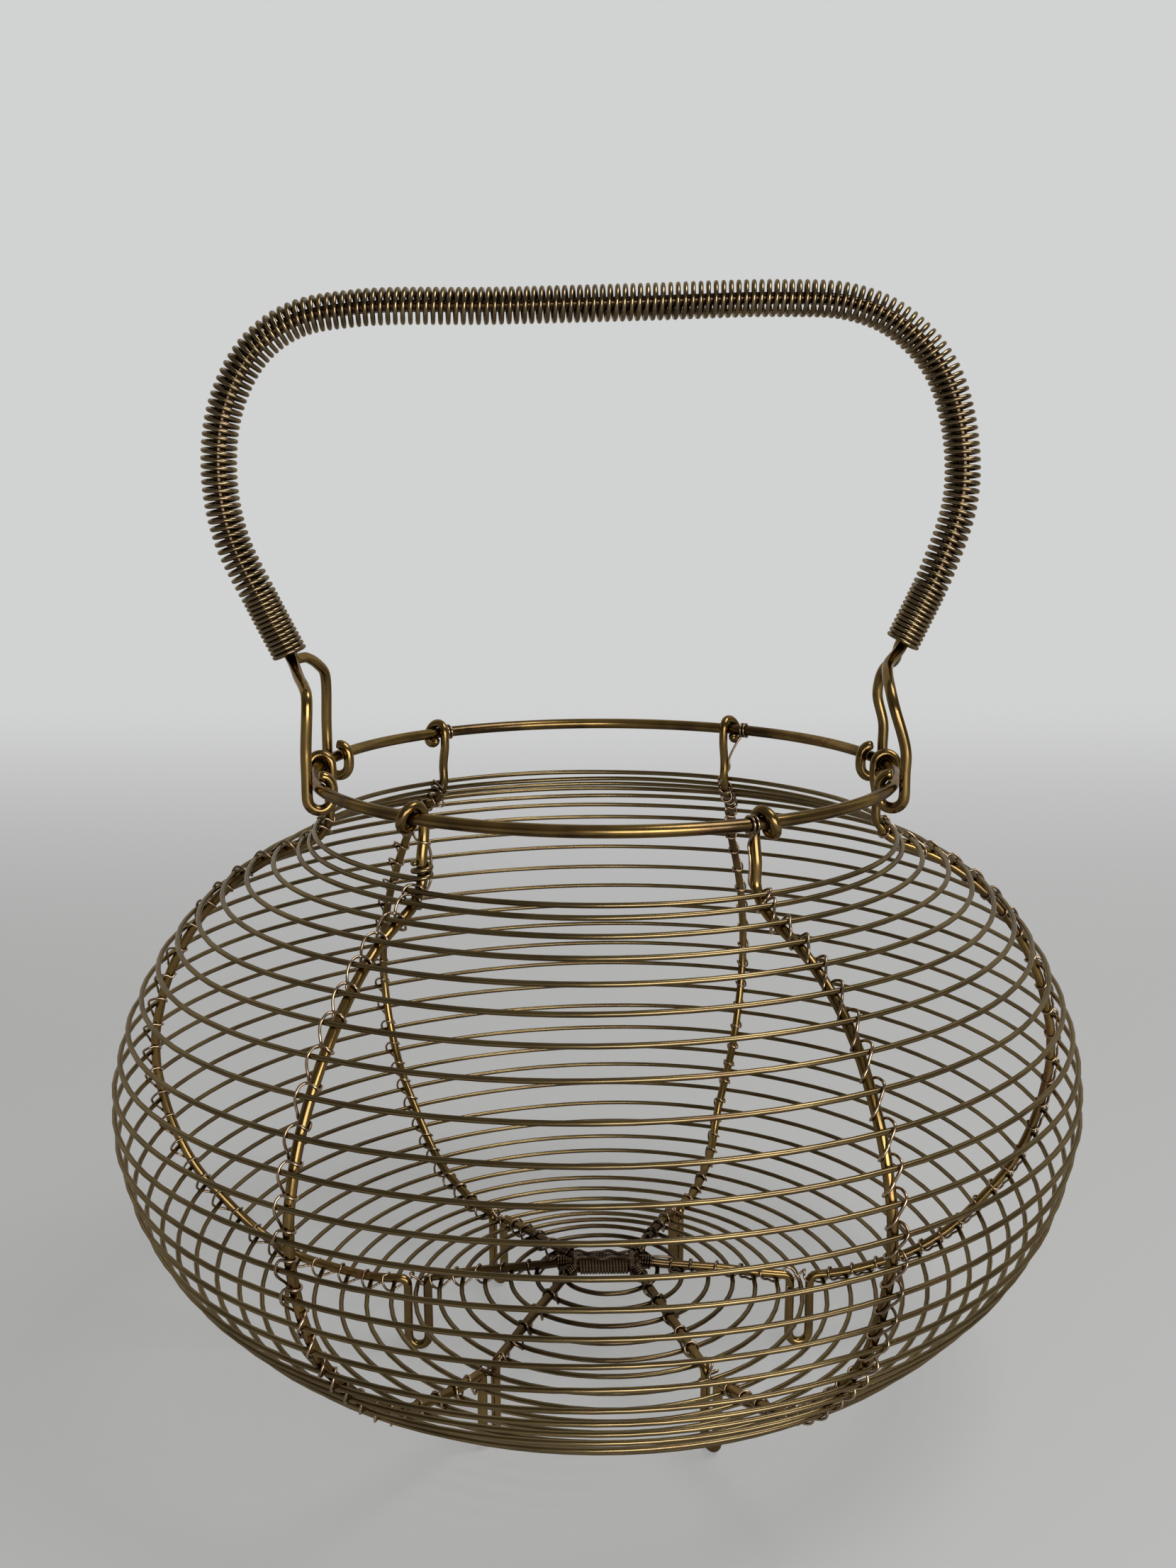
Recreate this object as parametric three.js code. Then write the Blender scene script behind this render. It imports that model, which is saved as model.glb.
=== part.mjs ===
// Wire basket with a fixed, coil-covered bail.
// Millimetres, +Z up, +X to the right of the basket's front, -Y towards the front.
// The origin is under the middle of the mouth, on the surface the feet stand on.
//
// The body is one long wire wound from the mouth to the middle of the base,
// lying outside six rib legs that are three wires bent double over the hub.
// Each leg hooks over the rim ring and drops to a foot on its way inward.
// A thin binding wire runs beside every leg. The bail is two strands side by
// side in a wound grip, which part below it into four eyes on the rim ring.

import * as THREE from 'three';

// Wires, by diameter
const RIM_WIRE = 3.0;
const RIB_WIRE = 2.5;
const WALL_WIRE = 1.3;
const BINDING_WIRE = 0.5;
const HUB_WIRE = 0.75;
const TIE_WIRE = 0.9;
const BAIL_WIRE = 2.8;
const GRIP_WIRE = 1.07;

// Free space left between wires that touch
const CLEARANCE = 0.3;

// Rim and body
const RIM_RADIUS = 75;
const RIM_HEIGHT = 166.3;
const NECK_DROP = 14;
const NECK_HEIGHT = RIM_HEIGHT - NECK_DROP;
const BELLY_RADIUS = 123.8;
const BELLY_HEIGHT = 85.8;
const BASE_HEIGHT = 20;
const WALL_TURNS = 35 + 1 / 6;
const NECK_WRAPS = 2;
const NECK_WRAP_PITCH = 1.8;
const SHAFT_DROP = 4;
const SHAFT_LEAD = 0.8;

// Where one length of the wall wire ends and the next begins, by turn
const WALL_LENGTHS = { neck: 4, shoulder: 9, belly: 14, flank: 19, heel: 24, base: WALL_TURNS };

// Rib legs: where each one stands round the rim, the belly and the feet, and the side its eye lies on
const LEG_AZIMUTHS = {
  front_left: [234, 236.1, 235.5],
  left: [175, 174.6, 177],
  back_left: [129, 126.3, 127.2],
  back_right: [58.8, 66.1, 62],
  right: [4, 3.6, 2.6],
  front_right: [-63.6, -61.3, -61.4],
};
const LEG_EYE_SIDE = { front_left: -1, left: 1, back_left: 1, back_right: -1, right: -1, front_right: 1 };
const FOOT_RADIUS = 52.5;
const FOOT_WIDTH = 5.6;
const FOOT_SHOULDER = 2.0;
const FOOT_APPROACH = [9, 3];
const HUB_LENGTH = 14;
const HUB_APPROACH = 1.2;
const HUB_TAIL = 0.3;
const HUB_RUN_IN = 10;
const HUB_TURNS = 11;
const HUB_PITCH = 1.2;

// Binding wires
const BINDING_STEP = 1.05;
const BINDING_END_RADIUS = 17;

// Bail
const EYE_DROP = 2.4;
const EYE_SHANK = [9, 3];
const EYE_AZIMUTHS = { front_left: 200, back_left: 163.9, front_right: 340, back_right: 12.5 };
const BAIL_HALF_WIDTH = 93.6;
const BAIL_LEAN = -3.1;
const BAIL_RISE = 89;
const SHANK_HEIGHT = 29.2;
const GRIP_OUTER = 9.2;
const GRIP_CURLS = 60;
const STRAND_SPREAD = 1.78;

// Wall section as [turn, share of the neck-to-belly radius, share of the height]
const SHOULDER = [[0, 0, 0], [1, 0.026, 0.038], [2, 0.071, 0.071], [4, 0.321, 0.155], [6, 0.553, 0.284], [8, 0.746, 0.454], [10, 0.906, 0.678], [12, 0.988, 0.895], [13, 1, 1]];
// and below the belly as [turn, share of the belly radius, share of the height]
const UNDERSIDE = [[14, 0.998, 0.105], [16, 0.973, 0.316], [18, 0.926, 0.517], [20, 0.863, 0.67], [22, 0.783, 0.822], [24, 0.695, 0.922], [26, 0.586, 0.982], [28, 0.481, 1.008], [30, 0.374, 0.995], [32, 0.273, 0.965], [34, 0.158, 0.939], [35.5, 0.077, 0.918]];
// How far the body is out of round, as shares of its radius for one, two and three waves round it
const OUT_OF_ROUND = [[0.0044, -0.0023], [0.0168, 0.0244], [-0.0079, 0.0008]];

// Centre line of the grip as [share of the half width, share of the rise], from its left end over the top
const GRIP_LINE = [[-0.822, 0], [-0.895, 0.155], [-0.974, 0.339], [-1, 0.511], [-0.978, 0.697], [-0.9, 0.852], [-0.792, 0.937], [-0.625, 0.972], [-0.252, 0.979], [0.123, 0.989], [0.498, 1], [0.684, 0.99], [0.812, 0.938], [0.926, 0.821], [0.987, 0.654], [1, 0.456], [0.949, 0.262], [0.85, 0.028]];
// Bends of each strand below the grip, as [out from the shank, share of the way to it, drop from the grip's end]
const STRAND_BENDS = {
  front_left: [[3.3, 0.45, 3.4], [0.8, 0.78, 4.9], [-0.5, 0.97, 6.8]],
  back_left: [[2.7, 0.32, 0.9], [0.7, 0.65, 3.6], [-0.3, 0.9, 7]],
  front_right: [[-1.4, 0.3, 3.3], [-3.1, 0.6, 5], [-3.7, 0.86, 7.6], [-3.2, 0.98, 11.5]],
  back_right: [[0.5, 0.36, 4.4], [-0.9, 0.71, 6.9], [-1.5, 0.96, 10.6], [-1.8, 1, 15]],
};

const finish = {
  rim: { color: 0x8a6f3f, roughness: 0.34, metalness: 0.9 },
  rib: { color: 0x86693a, roughness: 0.36, metalness: 0.9 },
  wall: { color: 0x7f6a41, roughness: 0.36, metalness: 0.9 },
  binding: { color: 0x9a6c3e, roughness: 0.4, metalness: 0.85 },
  hub: { color: 0x3a2a1c, roughness: 0.55, metalness: 0.75 },
  bail: { color: 0x7b6237, roughness: 0.36, metalness: 0.9 },
  grip: { color: 0x4d4233, roughness: 0.4, metalness: 0.9 },
};

const V = (x, y, z) => new THREE.Vector3(x, y, z);
const rad = THREE.MathUtils.degToRad;
const basket = new THREE.Group();

function add(name, geometry, look) {
  const mesh = new THREE.Mesh(geometry, new THREE.MeshStandardMaterial(finish[look]));
  mesh.name = name;
  basket.add(mesh);
}

// A drawn wire: stations carry a point and a side direction, and the section is a
// regular polygon inside the wire's circle, turned by twist from the side direction.
function wireGeometry(stations, diameter, sides, twist = 0, closed = false) {
  const n = stations.length;
  const positions = [];
  const index = [];
  stations.forEach((station, i) => {
    const before = stations[closed ? (i + n - 1) % n : Math.max(i - 1, 0)].p;
    const after = stations[closed ? (i + 1) % n : Math.min(i + 1, n - 1)].p;
    const along = after.clone().sub(before).normalize();
    const a = station.side.clone().addScaledVector(along, -station.side.dot(along)).normalize();
    const b = along.clone().cross(a);
    for (let k = 0; k < sides; k++) {
      const t = twist + (2 * Math.PI * k) / sides;
      const q = station.p.clone().addScaledVector(a, (diameter / 2) * Math.cos(t)).addScaledVector(b, (diameter / 2) * Math.sin(t));
      positions.push(q.x, q.y, q.z);
    }
  });
  const rings = closed ? n : n - 1;
  for (let i = 0; i < rings; i++) {
    const j = (i + 1) % n;
    for (let k = 0; k < sides; k++) {
      const l = (k + 1) % sides;
      index.push(i * sides + k, i * sides + l, j * sides + l, i * sides + k, j * sides + l, j * sides + k);
    }
  }
  if (!closed) {
    const last = (n - 1) * sides;
    for (let k = 1; k < sides - 1; k++) {
      index.push(0, k + 1, k, last, last + k, last + k + 1);
    }
  }
  const geometry = new THREE.BufferGeometry();
  geometry.setAttribute('position', new THREE.Float32BufferAttribute(positions, 3));
  geometry.setIndex(index);
  geometry.computeVertexNormals();
  return geometry;
}

// Carries a side direction along a line of points without twisting it
function carried(points, side) {
  let current = side.clone();
  return points.map((p, i) => {
    const along = points[Math.min(i + 1, points.length - 1)].clone().sub(points[Math.max(i - 1, 0)]).normalize();
    current = current.clone().addScaledVector(along, -current.dot(along)).normalize();
    return { p, side: current };
  });
}

// Smooth curve through a table of [parameter, value]
function spline(rows, column) {
  const slope = rows.map((row, i) => {
    const a = rows[Math.max(i - 1, 0)];
    const b = rows[Math.min(i + 1, rows.length - 1)];
    return (b[column] - a[column]) / (b[0] - a[0]);
  });
  return (s) => {
    let i = 0;
    while (i < rows.length - 2 && s > rows[i + 1][0]) i++;
    const h = rows[i + 1][0] - rows[i][0];
    const t = (s - rows[i][0]) / h;
    const t2 = t * t;
    const t3 = t2 * t;
    return (2 * t3 - 3 * t2 + 1) * rows[i][column] + (t3 - 2 * t2 + t) * h * slope[i] + (3 * t2 - 2 * t3) * rows[i + 1][column] + (t3 - t2) * h * slope[i + 1];
  };
}

// Wall section: radius and height of the wall wire's centre at each turn
const flat = Math.cos(Math.PI / 6);
const legEyeRadius = (RIM_WIRE + RIB_WIRE) / 2 + CLEARANCE / 3;
const shaftRadius = RIM_RADIUS - legEyeRadius;
const wallToLeg = (WALL_WIRE + RIB_WIRE) / 2;
const neckRadius = shaftRadius + wallToLeg + RIB_WIRE * 0.4;
const wrapRadius = wallToLeg + CLEARANCE;
const wallRows = [
  ...SHOULDER.map(([s, u, w]) => [s, neckRadius + (BELLY_RADIUS - neckRadius) * u, NECK_HEIGHT + (BELLY_HEIGHT - NECK_HEIGHT) * w]),
  ...UNDERSIDE.map(([s, v, w]) => [s, BELLY_RADIUS * v, BELLY_HEIGHT + (BASE_HEIGHT - BELLY_HEIGHT) * w]),
];
const wallR = spline(wallRows, 1);
const wallZ = spline(wallRows, 2);
function wallNormal(s) {
  const dr = wallR(s + 0.02) - wallR(s - 0.02);
  const dz = wallZ(s + 0.02) - wallZ(s - 0.02);
  const l = Math.hypot(dr, dz);
  return [-dz / l, dr / l];
}

const { lerp, smoothstep } = THREE.MathUtils;
// The mouth and the feet stand on true circles, and the body between them is out of round
function swell(azimuth, s) {
  const share = smoothstep(s, 0.5, 9) * (1 - smoothstep(s, 21, 28));
  return OUT_OF_ROUND.reduce((sum, [c, d], k) => sum + share * (c * Math.cos((k + 1) * azimuth) + d * Math.sin((k + 1) * azimuth)), 1);
}

// The wall wire passes the legs in this order, one sixth of a turn apart in count
const order = ['front_left', 'left', 'back_left', 'back_right', 'right', 'front_right'];
function legAzimuth(leg, s) {
  const [rim, belly, foot] = LEG_AZIMUTHS[leg];
  return s < 10 ? lerp(rim, belly, smoothstep(s, 0, 8)) : lerp(belly, foot, smoothstep(s, 21, 28));
}
function wallAzimuth(s) {
  const sixth = (((s % 1) + 1) % 1) * 6;
  const i = Math.min(Math.floor(sixth + 1e-9), 5);
  const from = legAzimuth(order[i], s);
  const to = i === 5 ? legAzimuth(order[0], s) - 360 : legAzimuth(order[i + 1], s);
  const wrap = from < to ? 360 : 0;
  return rad(from + (to - from - wrap) * (sixth - i));
}
const out = (azimuth) => V(Math.cos(azimuth), Math.sin(azimuth), 0);
const left = (azimuth) => V(-Math.sin(azimuth), Math.cos(azimuth), 0);

// Rim ring
{
  const stations = [];
  for (let a = 0; a < 360; a += 5) stations.push({ p: out(rad(a)).multiplyScalar(RIM_RADIUS).setZ(RIM_HEIGHT), side: V(0, 0, 1) });
  add('rim_ring', wireGeometry(stations, RIM_WIRE, 6, 0, true), 'rim');
}

// Wall wire: wrapped round the front left leg, then down and in to the hub
const wallLengths = {};
const stepsAt = (s) => (s < 29 ? 24 : 12);
const wallStation = (s) => {
  const a = wallAzimuth(s);
  const [nr, nz] = wallNormal(s);
  return { p: out(a).multiplyScalar(wallR(s) * swell(a, s)).setZ(wallZ(s)), side: out(a).multiplyScalar(nr).setZ(nz) };
};
{
  const azimuth = wallAzimuth(0);
  const centre = out(azimuth).multiplyScalar(wallR(0) - wrapRadius);
  const steps = 8;
  let stations = [];
  for (let i = NECK_WRAPS * steps; i > 0; i--) {
    const t = azimuth + (2 * Math.PI * i) / steps;
    const height = NECK_HEIGHT + (NECK_WRAP_PITCH * i) / steps;
    stations.push({ p: out(t).multiplyScalar(wrapRadius).add(centre).setZ(height), side: out(t) });
  }
  let start = 0;
  for (const [name, turns] of Object.entries(WALL_LENGTHS)) {
    const end = Math.min(turns, WALL_TURNS);
    const last = end === WALL_TURNS;
    const half = CLEARANCE / 2 / (2 * Math.PI * wallR(end));
    const cut = end + 0.5 / 24;
    for (let s = start; s < end + 1e-6; s = Math.round((s + 1 / stepsAt(s)) * 24) / 24) stations.push(wallStation(s));
    if (!last) stations.push(wallStation(cut - half));
    wallLengths[name] = stations;
    add(`wall_wire_${name}`, wireGeometry(stations, WALL_WIRE, 4, Math.PI / 4), 'wall');
    stations = [wallStation(cut + half)];
    start = end + 1 / 24;
  }
}

// One rib leg, from the end of its eye to the hub
const footDrop = FOOT_WIDTH / 2;
const hubHeight = wallZ(35) + wallToLeg;
const hubSpread = RIB_WIRE * flat + RIB_WIRE * (1 - flat) + CLEARANCE;
const hubY = { front_left: -hubSpread, front_right: -hubSpread, left: 0, right: 0, back_left: hubSpread, back_right: hubSpread };
function legWall(leg, s) {
  const [nr, nz] = wallNormal(s);
  return [wallR(s) * (leg ? swell(rad(legAzimuth(leg, s)), s) : 1) - nr * wallToLeg, wallZ(s) - nz * wallToLeg];
}
function footTurn(leg) {
  const j = order.indexOf(leg) / 6;
  let best = 0;
  for (let k = 20; k < 34; k++) if (Math.abs(wallR(k + j) - FOOT_RADIUS) < Math.abs(wallR(best + j) - FOOT_RADIUS)) best = k;
  return best + j;
}
// Base of the leg inside the foot: height of the leg's centre at a radius
function legBaseZ(radius) {
  let a = 26;
  let b = 35.5;
  for (let i = 0; i < 40; i++) {
    const m = (a + b) / 2;
    if (legWall('', m)[0] > radius) a = m;
    else b = m;
  }
  return legWall('', a)[1];
}
function legPath(leg) {
  const turn = LEG_EYE_SIDE[leg];
  const inward = Math.cos(rad(LEG_AZIMUTHS[leg][1])) > 0 ? 1 : -1;
  const stations = [];
  let azimuth = rad(LEG_AZIMUTHS[leg][0]);
  const at = (r, z, t = 0) => stations.push({ p: out(azimuth).multiplyScalar(r).addScaledVector(left(azimuth), t * turn).setZ(z), side: left(azimuth).multiplyScalar(inward) });
  const onWall = (s) => {
    azimuth = rad(legAzimuth(leg, s));
    at(...legWall(leg, s));
  };
  const eyeShift = RIB_WIRE + CLEARANCE;
  for (let i = 0; i <= 10; i++) {
    const angle = rad(-150 + 33 * i);
    const shift = eyeShift * smoothstep(10 - i, 2, 8);
    at(RIM_RADIUS + legEyeRadius * Math.cos(angle), RIM_HEIGHT + legEyeRadius * Math.sin(angle), shift);
  }
  at(shaftRadius, RIM_HEIGHT - SHAFT_DROP);
  at(wallR(0) - wrapRadius, NECK_HEIGHT + (NECK_WRAPS + 0.6) * NECK_WRAP_PITCH);
  at(wallR(0) - wrapRadius, NECK_HEIGHT - SHAFT_LEAD);
  for (const s of [1, 1.5, 2, 3, 4, 5, 6, 7, 8, 9.5, 11, 12.5, 14, 15.5, 17, 18.5, 20, 21.5, 23, 24.5]) onWall(s);
  azimuth = rad(LEG_AZIMUTHS[leg][2]);
  const footAt = wallR(footTurn(leg));
  const outer = footAt + footDrop;
  const inner = footAt - footDrop;
  for (const r of FOOT_APPROACH.map((d) => outer + FOOT_SHOULDER + d)) if (r < legWall(leg, 25.2)[0]) at(r, legBaseZ(r));
  // shoulder, U bend and shoulder again
  const bend = (centreR, centreZ, radius, from, to, steps) => {
    for (let i = 0; i <= steps; i++) {
      const angle = rad(from + ((to - from) * i) / steps);
      at(centreR + radius * Math.cos(angle), centreZ + radius * Math.sin(angle));
    }
  };
  const lowZ = (RIB_WIRE / 2) * flat * Math.cos(rad(18)) + footDrop * Math.sin(rad(72));
  bend(outer + FOOT_SHOULDER, legBaseZ(outer + FOOT_SHOULDER) - FOOT_SHOULDER, FOOT_SHOULDER, 90, 180, 3);
  bend(footAt, lowZ, footDrop, 360, 180, 5);
  bend(inner - FOOT_SHOULDER, legBaseZ(inner - FOOT_SHOULDER) - FOOT_SHOULDER, FOOT_SHOULDER, 0, 90, 3);
  // across the base to the hub
  const from = stations[stations.length - 1].p.clone();
  const end = V(inward * (HUB_LENGTH / 2 + HUB_APPROACH), hubY[leg], 0);
  for (const t of [0.3, 0.65, 0.95]) {
    const p = from.clone().lerp(end, t);
    stations.push({ p: p.setZ(legBaseZ(Math.max(Math.hypot(p.x, p.y), HUB_RUN_IN))), side: left(azimuth).multiplyScalar(inward).lerp(V(0, 1, 0), t * 0.5) });
  }
  stations.push({ p: V(inward * (HUB_LENGTH / 2 + HUB_TAIL), hubY[leg], hubHeight), side: V(0, 1, 0) });
  return stations;
}
const legs = Object.fromEntries(order.map((leg) => [leg, legPath(leg)]));
for (const [name, a, b] of [['front', 'front_left', 'front_right'], ['middle', 'left', 'right'], ['back', 'back_left', 'back_right']]) {
  const stations = [...legs[a], ...[...legs[b]].reverse()];
  add(`rib_wire_${name}`, wireGeometry(stations, RIB_WIRE, 6), 'rib');
}

// Binding wires: two turns on the rim beside each eye, down the far side of the leg
// from the eye, past the wall wire's wraps at the front left, and in over the base
for (const leg of order) {
  const azimuth = rad(LEG_AZIMUTHS[leg][0]);
  const turn = -LEG_EYE_SIDE[leg];
  const side = left(azimuth).multiplyScalar(turn);
  const beside = (RIB_WIRE + BINDING_WIRE) / 2 + CLEARANCE;
  const hookRadius = (RIM_WIRE + BINDING_WIRE) / 2 + CLEARANCE;
  const points = [];
  for (let i = 0; i <= 12; i++) {
    const angle = rad(60 * i - 100);
    const step = beside + ((12 - i) / 12) * 2 * BINDING_STEP;
    const shift = step / RIM_RADIUS;
    points.push(out(azimuth + shift * turn).multiplyScalar(RIM_RADIUS - hookRadius * Math.cos(angle)).setZ(RIM_HEIGHT + hookRadius * Math.sin(angle)));
  }
  const along = legs[leg].filter((s) => s.p.z < RIM_HEIGHT - SHAFT_DROP);
  const foot = wallR(footTurn(leg));
  for (const station of along) {
    const radius = Math.hypot(station.p.x, station.p.y);
    if (Math.abs(radius - foot) < footDrop + FOOT_SHOULDER * 0.99 && station.p.z < legBaseZ(foot) + 1) continue;
    if (radius < BINDING_END_RADIUS) break;
    let offset = beside;
    if (leg === 'front_left' && station.p.z > NECK_HEIGHT - 2) offset = wallToLeg + CLEARANCE + (WALL_WIRE + BINDING_WIRE) / 2 + CLEARANCE;
    const dir = station.side.clone().setZ(0).normalize();
    if (dir.dot(side) < 0) dir.negate();
    points.push(station.p.clone().addScaledVector(dir, offset));
  }
  add(`binding_wire_${leg}`, wireGeometry(carried(points, side), BINDING_WIRE, 3), 'binding');
}

// Hub winding round the three rib wires, and two loose ties lying on it
let hubTop;
{
  const halfY = hubSpread + RIB_WIRE / 2 + CLEARANCE + HUB_WIRE / 2;
  const halfZ = (RIB_WIRE / 2) * flat + CLEARANCE + HUB_WIRE / 2;
  hubTop = hubHeight + halfZ + HUB_WIRE / 2;
  const corners = [[-0.72, -1], [0.72, -1], [1, -0.5], [1, 0.5], [0.72, 1], [-0.72, 1], [-1, 0.5], [-1, -0.5]];
  const stations = [];
  for (let i = 0; i <= HUB_TURNS * 8; i++) {
    const [u, w] = corners[i % 8];
    const x = (i / 8 - HUB_TURNS / 2) * HUB_PITCH;
    stations.push({ p: V(x, u * halfY, hubHeight + w * halfZ), side: V(1, 0, 0) });
  }
  add('hub_winding', wireGeometry(stations, HUB_WIRE, 4, Math.PI / 4), 'hub');
  [-1, 1].forEach((which) => {
    const points = [];
    for (let i = 0; i <= 14; i++) {
      const t = i / 14;
      points.push(V((t - 0.5) * (HUB_TURNS * HUB_PITCH + 3), which * 1.7 + 0.45 * Math.sin(t * 4 * Math.PI), hubTop + CLEARANCE + TIE_WIRE / 2));
    }
    add(`hub_tie_${which < 0 ? 'front' : 'back'}`, wireGeometry(carried(points, V(0, 0, 1)), TIE_WIRE, 4, Math.PI / 4), 'hub');
  });
}

// Bail
const gripFoot = RIM_HEIGHT + SHANK_HEIGHT;
const gripCurve = new THREE.CatmullRomCurve3(GRIP_LINE.map(([u, w]) => V(BAIL_LEAN + BAIL_HALF_WIDTH * u, 0, gripFoot + BAIL_RISE * w)), false, 'centripetal');
function eyePath(which) {
  const azimuth = rad(EYE_AZIMUTHS[which]);
  const radius = (RIM_WIRE + BAIL_WIRE) / 2 + CLEARANCE;
  const topZ = RIM_HEIGHT;
  const lowZ = RIM_HEIGHT - EYE_DROP;
  const path = [];
  const at = (angle, z) => path.push(out(azimuth).multiplyScalar(RIM_RADIUS + radius * Math.cos(rad(angle))).setZ(z + radius * Math.sin(rad(angle))));
  EYE_SHANK.forEach((rise) => at(0, topZ + rise));
  for (let i = 0; i <= 5; i++) at(-36 * i, lowZ);
  for (let i = 0; i <= 3; i++) at(180 - 28.5 * i, topZ);
  return path;
}
for (const [name, end, y] of [['front', ['front_left', 'front_right'], -STRAND_SPREAD], ['back', ['back_left', 'back_right'], STRAND_SPREAD]]) {
  const grip = gripCurve.getSpacedPoints(44).map((p) => V(p.x, y, p.z));
  const bends = (which) => {
    const foot = eyePath(which);
    const lower = which.endsWith('left') ? grip[0] : grip[44];
    const before = which.endsWith('left') ? grip[1] : grip[43];
    const shank = foot[0];
    const knots = [before, lower, ...STRAND_BENDS[which].map(([out, share, drop]) => V(shank.x + Math.sign(shank.x) * out, lerp(lower.y, shank.y, share), lower.z - drop)), foot[0], foot[1]];
    const curve = new THREE.CatmullRomCurve3(knots, false, 'centripetal');
    const points = [];
    const inner = knots.length - 1;
    for (let i = 1; i <= 11; i++) points.push(curve.getPoint(1 / inner + ((inner - 2) / inner) * (i / 11)));
    return [...points, ...foot.slice(1)];
  };
  const rightHalf = carried([...grip.slice(22), ...bends(end[1])], V(0, 1, 0));
  const leftHalf = carried([...grip.slice(0, 23).reverse(), ...bends(end[0])], V(0, 1, 0));
  const stations = [...leftHalf.reverse(), ...rightHalf.slice(1)];
  add(`bail_strand_${name}`, wireGeometry(stations, BAIL_WIRE, 6, Math.PI / 6), 'bail');
}

// Grip: one wire wound round both strands
const gripStations = [];
{
  const radius = (GRIP_OUTER - GRIP_WIRE) / 2;
  const steps = 8;
  const total = GRIP_CURLS * steps;
  for (let i = 0; i <= total; i++) {
    const u = 0.004 + (0.992 * i) / total;
    const centre = gripCurve.getPointAt(u);
    const along = gripCurve.getTangentAt(u);
    const up = V(0, 1, 0).cross(along).normalize();
    const angle = (2 * Math.PI * i) / steps;
    const side = V(0, 1, 0).multiplyScalar(Math.cos(angle)).addScaledVector(up, Math.sin(angle));
    gripStations.push({ p: centre.addScaledVector(side, radius), side });
  }
  add('grip_coil', wireGeometry(gripStations, GRIP_WIRE, 4, Math.PI / 4), 'grip');
}

// The origin goes under the middle of the whole, on the surface the feet stand on
const bounds = new THREE.Box3().setFromObject(basket, true);
const middle = bounds.getCenter(V(0, 0, 0));
basket.position.set(-middle.x, -middle.y, -bounds.min.z);

// Least free space between one turn of a wound wire and the next
function leastGap(stations, diameter, apart) {
  let least = Infinity;
  for (let i = 0; i < stations.length; i++) {
    for (let j = i + apart; j < stations.length; j++) {
      least = Math.min(least, stations[i].p.distanceTo(stations[j].p) - diameter);
    }
  }
  return least;
}
console.log(`grip_coil: least gap between curls ${leastGap(gripStations, GRIP_WIRE, 6).toFixed(2)} mm`);
for (const [name, stations] of Object.entries(wallLengths)) {
  console.log(`wall_wire_${name}: least gap between turns ${leastGap(stations, WALL_WIRE, 6).toFixed(2)} mm`);
}

export default basket;
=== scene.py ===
"""Wire basket with a coil-covered bail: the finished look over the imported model."""

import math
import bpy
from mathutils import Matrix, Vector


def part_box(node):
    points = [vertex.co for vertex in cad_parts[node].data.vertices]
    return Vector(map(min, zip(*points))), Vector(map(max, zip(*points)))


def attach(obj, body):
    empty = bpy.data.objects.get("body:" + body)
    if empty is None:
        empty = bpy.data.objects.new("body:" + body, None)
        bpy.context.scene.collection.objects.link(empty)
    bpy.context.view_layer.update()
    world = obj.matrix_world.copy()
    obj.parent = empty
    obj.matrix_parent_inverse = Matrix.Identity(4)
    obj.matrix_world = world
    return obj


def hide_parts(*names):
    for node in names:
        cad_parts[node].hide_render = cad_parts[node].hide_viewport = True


bl_info = {
    "name": "Wire Basket",
    "version": (1, 0, 0),
    "blender": (4, 5, 0),
    "location": "View3D > Sidebar > Basket",
    "description": "Builds a round wire basket with a coil-covered bail",
    "category": "Add Mesh",
}

import bmesh
import bpy
from bpy.props import FloatProperty, FloatVectorProperty, IntProperty, PointerProperty
from mathutils import Euler, Vector, noise

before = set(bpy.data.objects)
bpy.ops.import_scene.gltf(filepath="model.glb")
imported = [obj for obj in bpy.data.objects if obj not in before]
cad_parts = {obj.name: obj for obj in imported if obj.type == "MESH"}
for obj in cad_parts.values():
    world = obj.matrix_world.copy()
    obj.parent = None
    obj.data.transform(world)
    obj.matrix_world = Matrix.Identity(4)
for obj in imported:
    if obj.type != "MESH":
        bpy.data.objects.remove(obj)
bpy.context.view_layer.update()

MM = 0.001
RIM_LOW, RIM_HIGH = (Vector(corner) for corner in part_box("rim_ring"))
AXIS = (RIM_LOW + RIM_HIGH) / 2 / MM
WALL_NODES = ["wall_wire_" + n for n in ("neck", "shoulder", "belly", "flank", "heel", "base")]

# The wall wire passes the legs in this order, a sixth of a turn apart in count
LEGS = ["front_left", "left", "back_left", "back_right", "right", "front_right"]
RIBS = {
    "front": ("front_left", "front_right"),
    "middle": ("left", "right"),
    "back": ("back_left", "back_right"),
}
# Where each leg stands round the rim, the belly and the feet, in degrees
LEG_AZIMUTHS = {
    "front_left": (234, 236.1, 235.5),
    "left": (175, 174.6, 177),
    "back_left": (129, 126.3, 127.2),
    "back_right": (58.8, 66.1, 62),
    "right": (4, 3.6, 2.6),
    "front_right": (-63.6, -61.3, -61.4),
}
# To which side along the rim each leg's eye lies, 1 for anticlockwise from above
LEG_EYE_SIDE = {
    "front_left": -1,
    "left": 1,
    "back_left": 1,
    "back_right": -1,
    "right": -1,
    "front_right": 1,
}
# Where the bail's eyes hang round the rim, in degrees
EYE_AZIMUTHS = {"front_left": 200, "back_left": 163.9, "front_right": 340, "back_right": 12.5}

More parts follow.
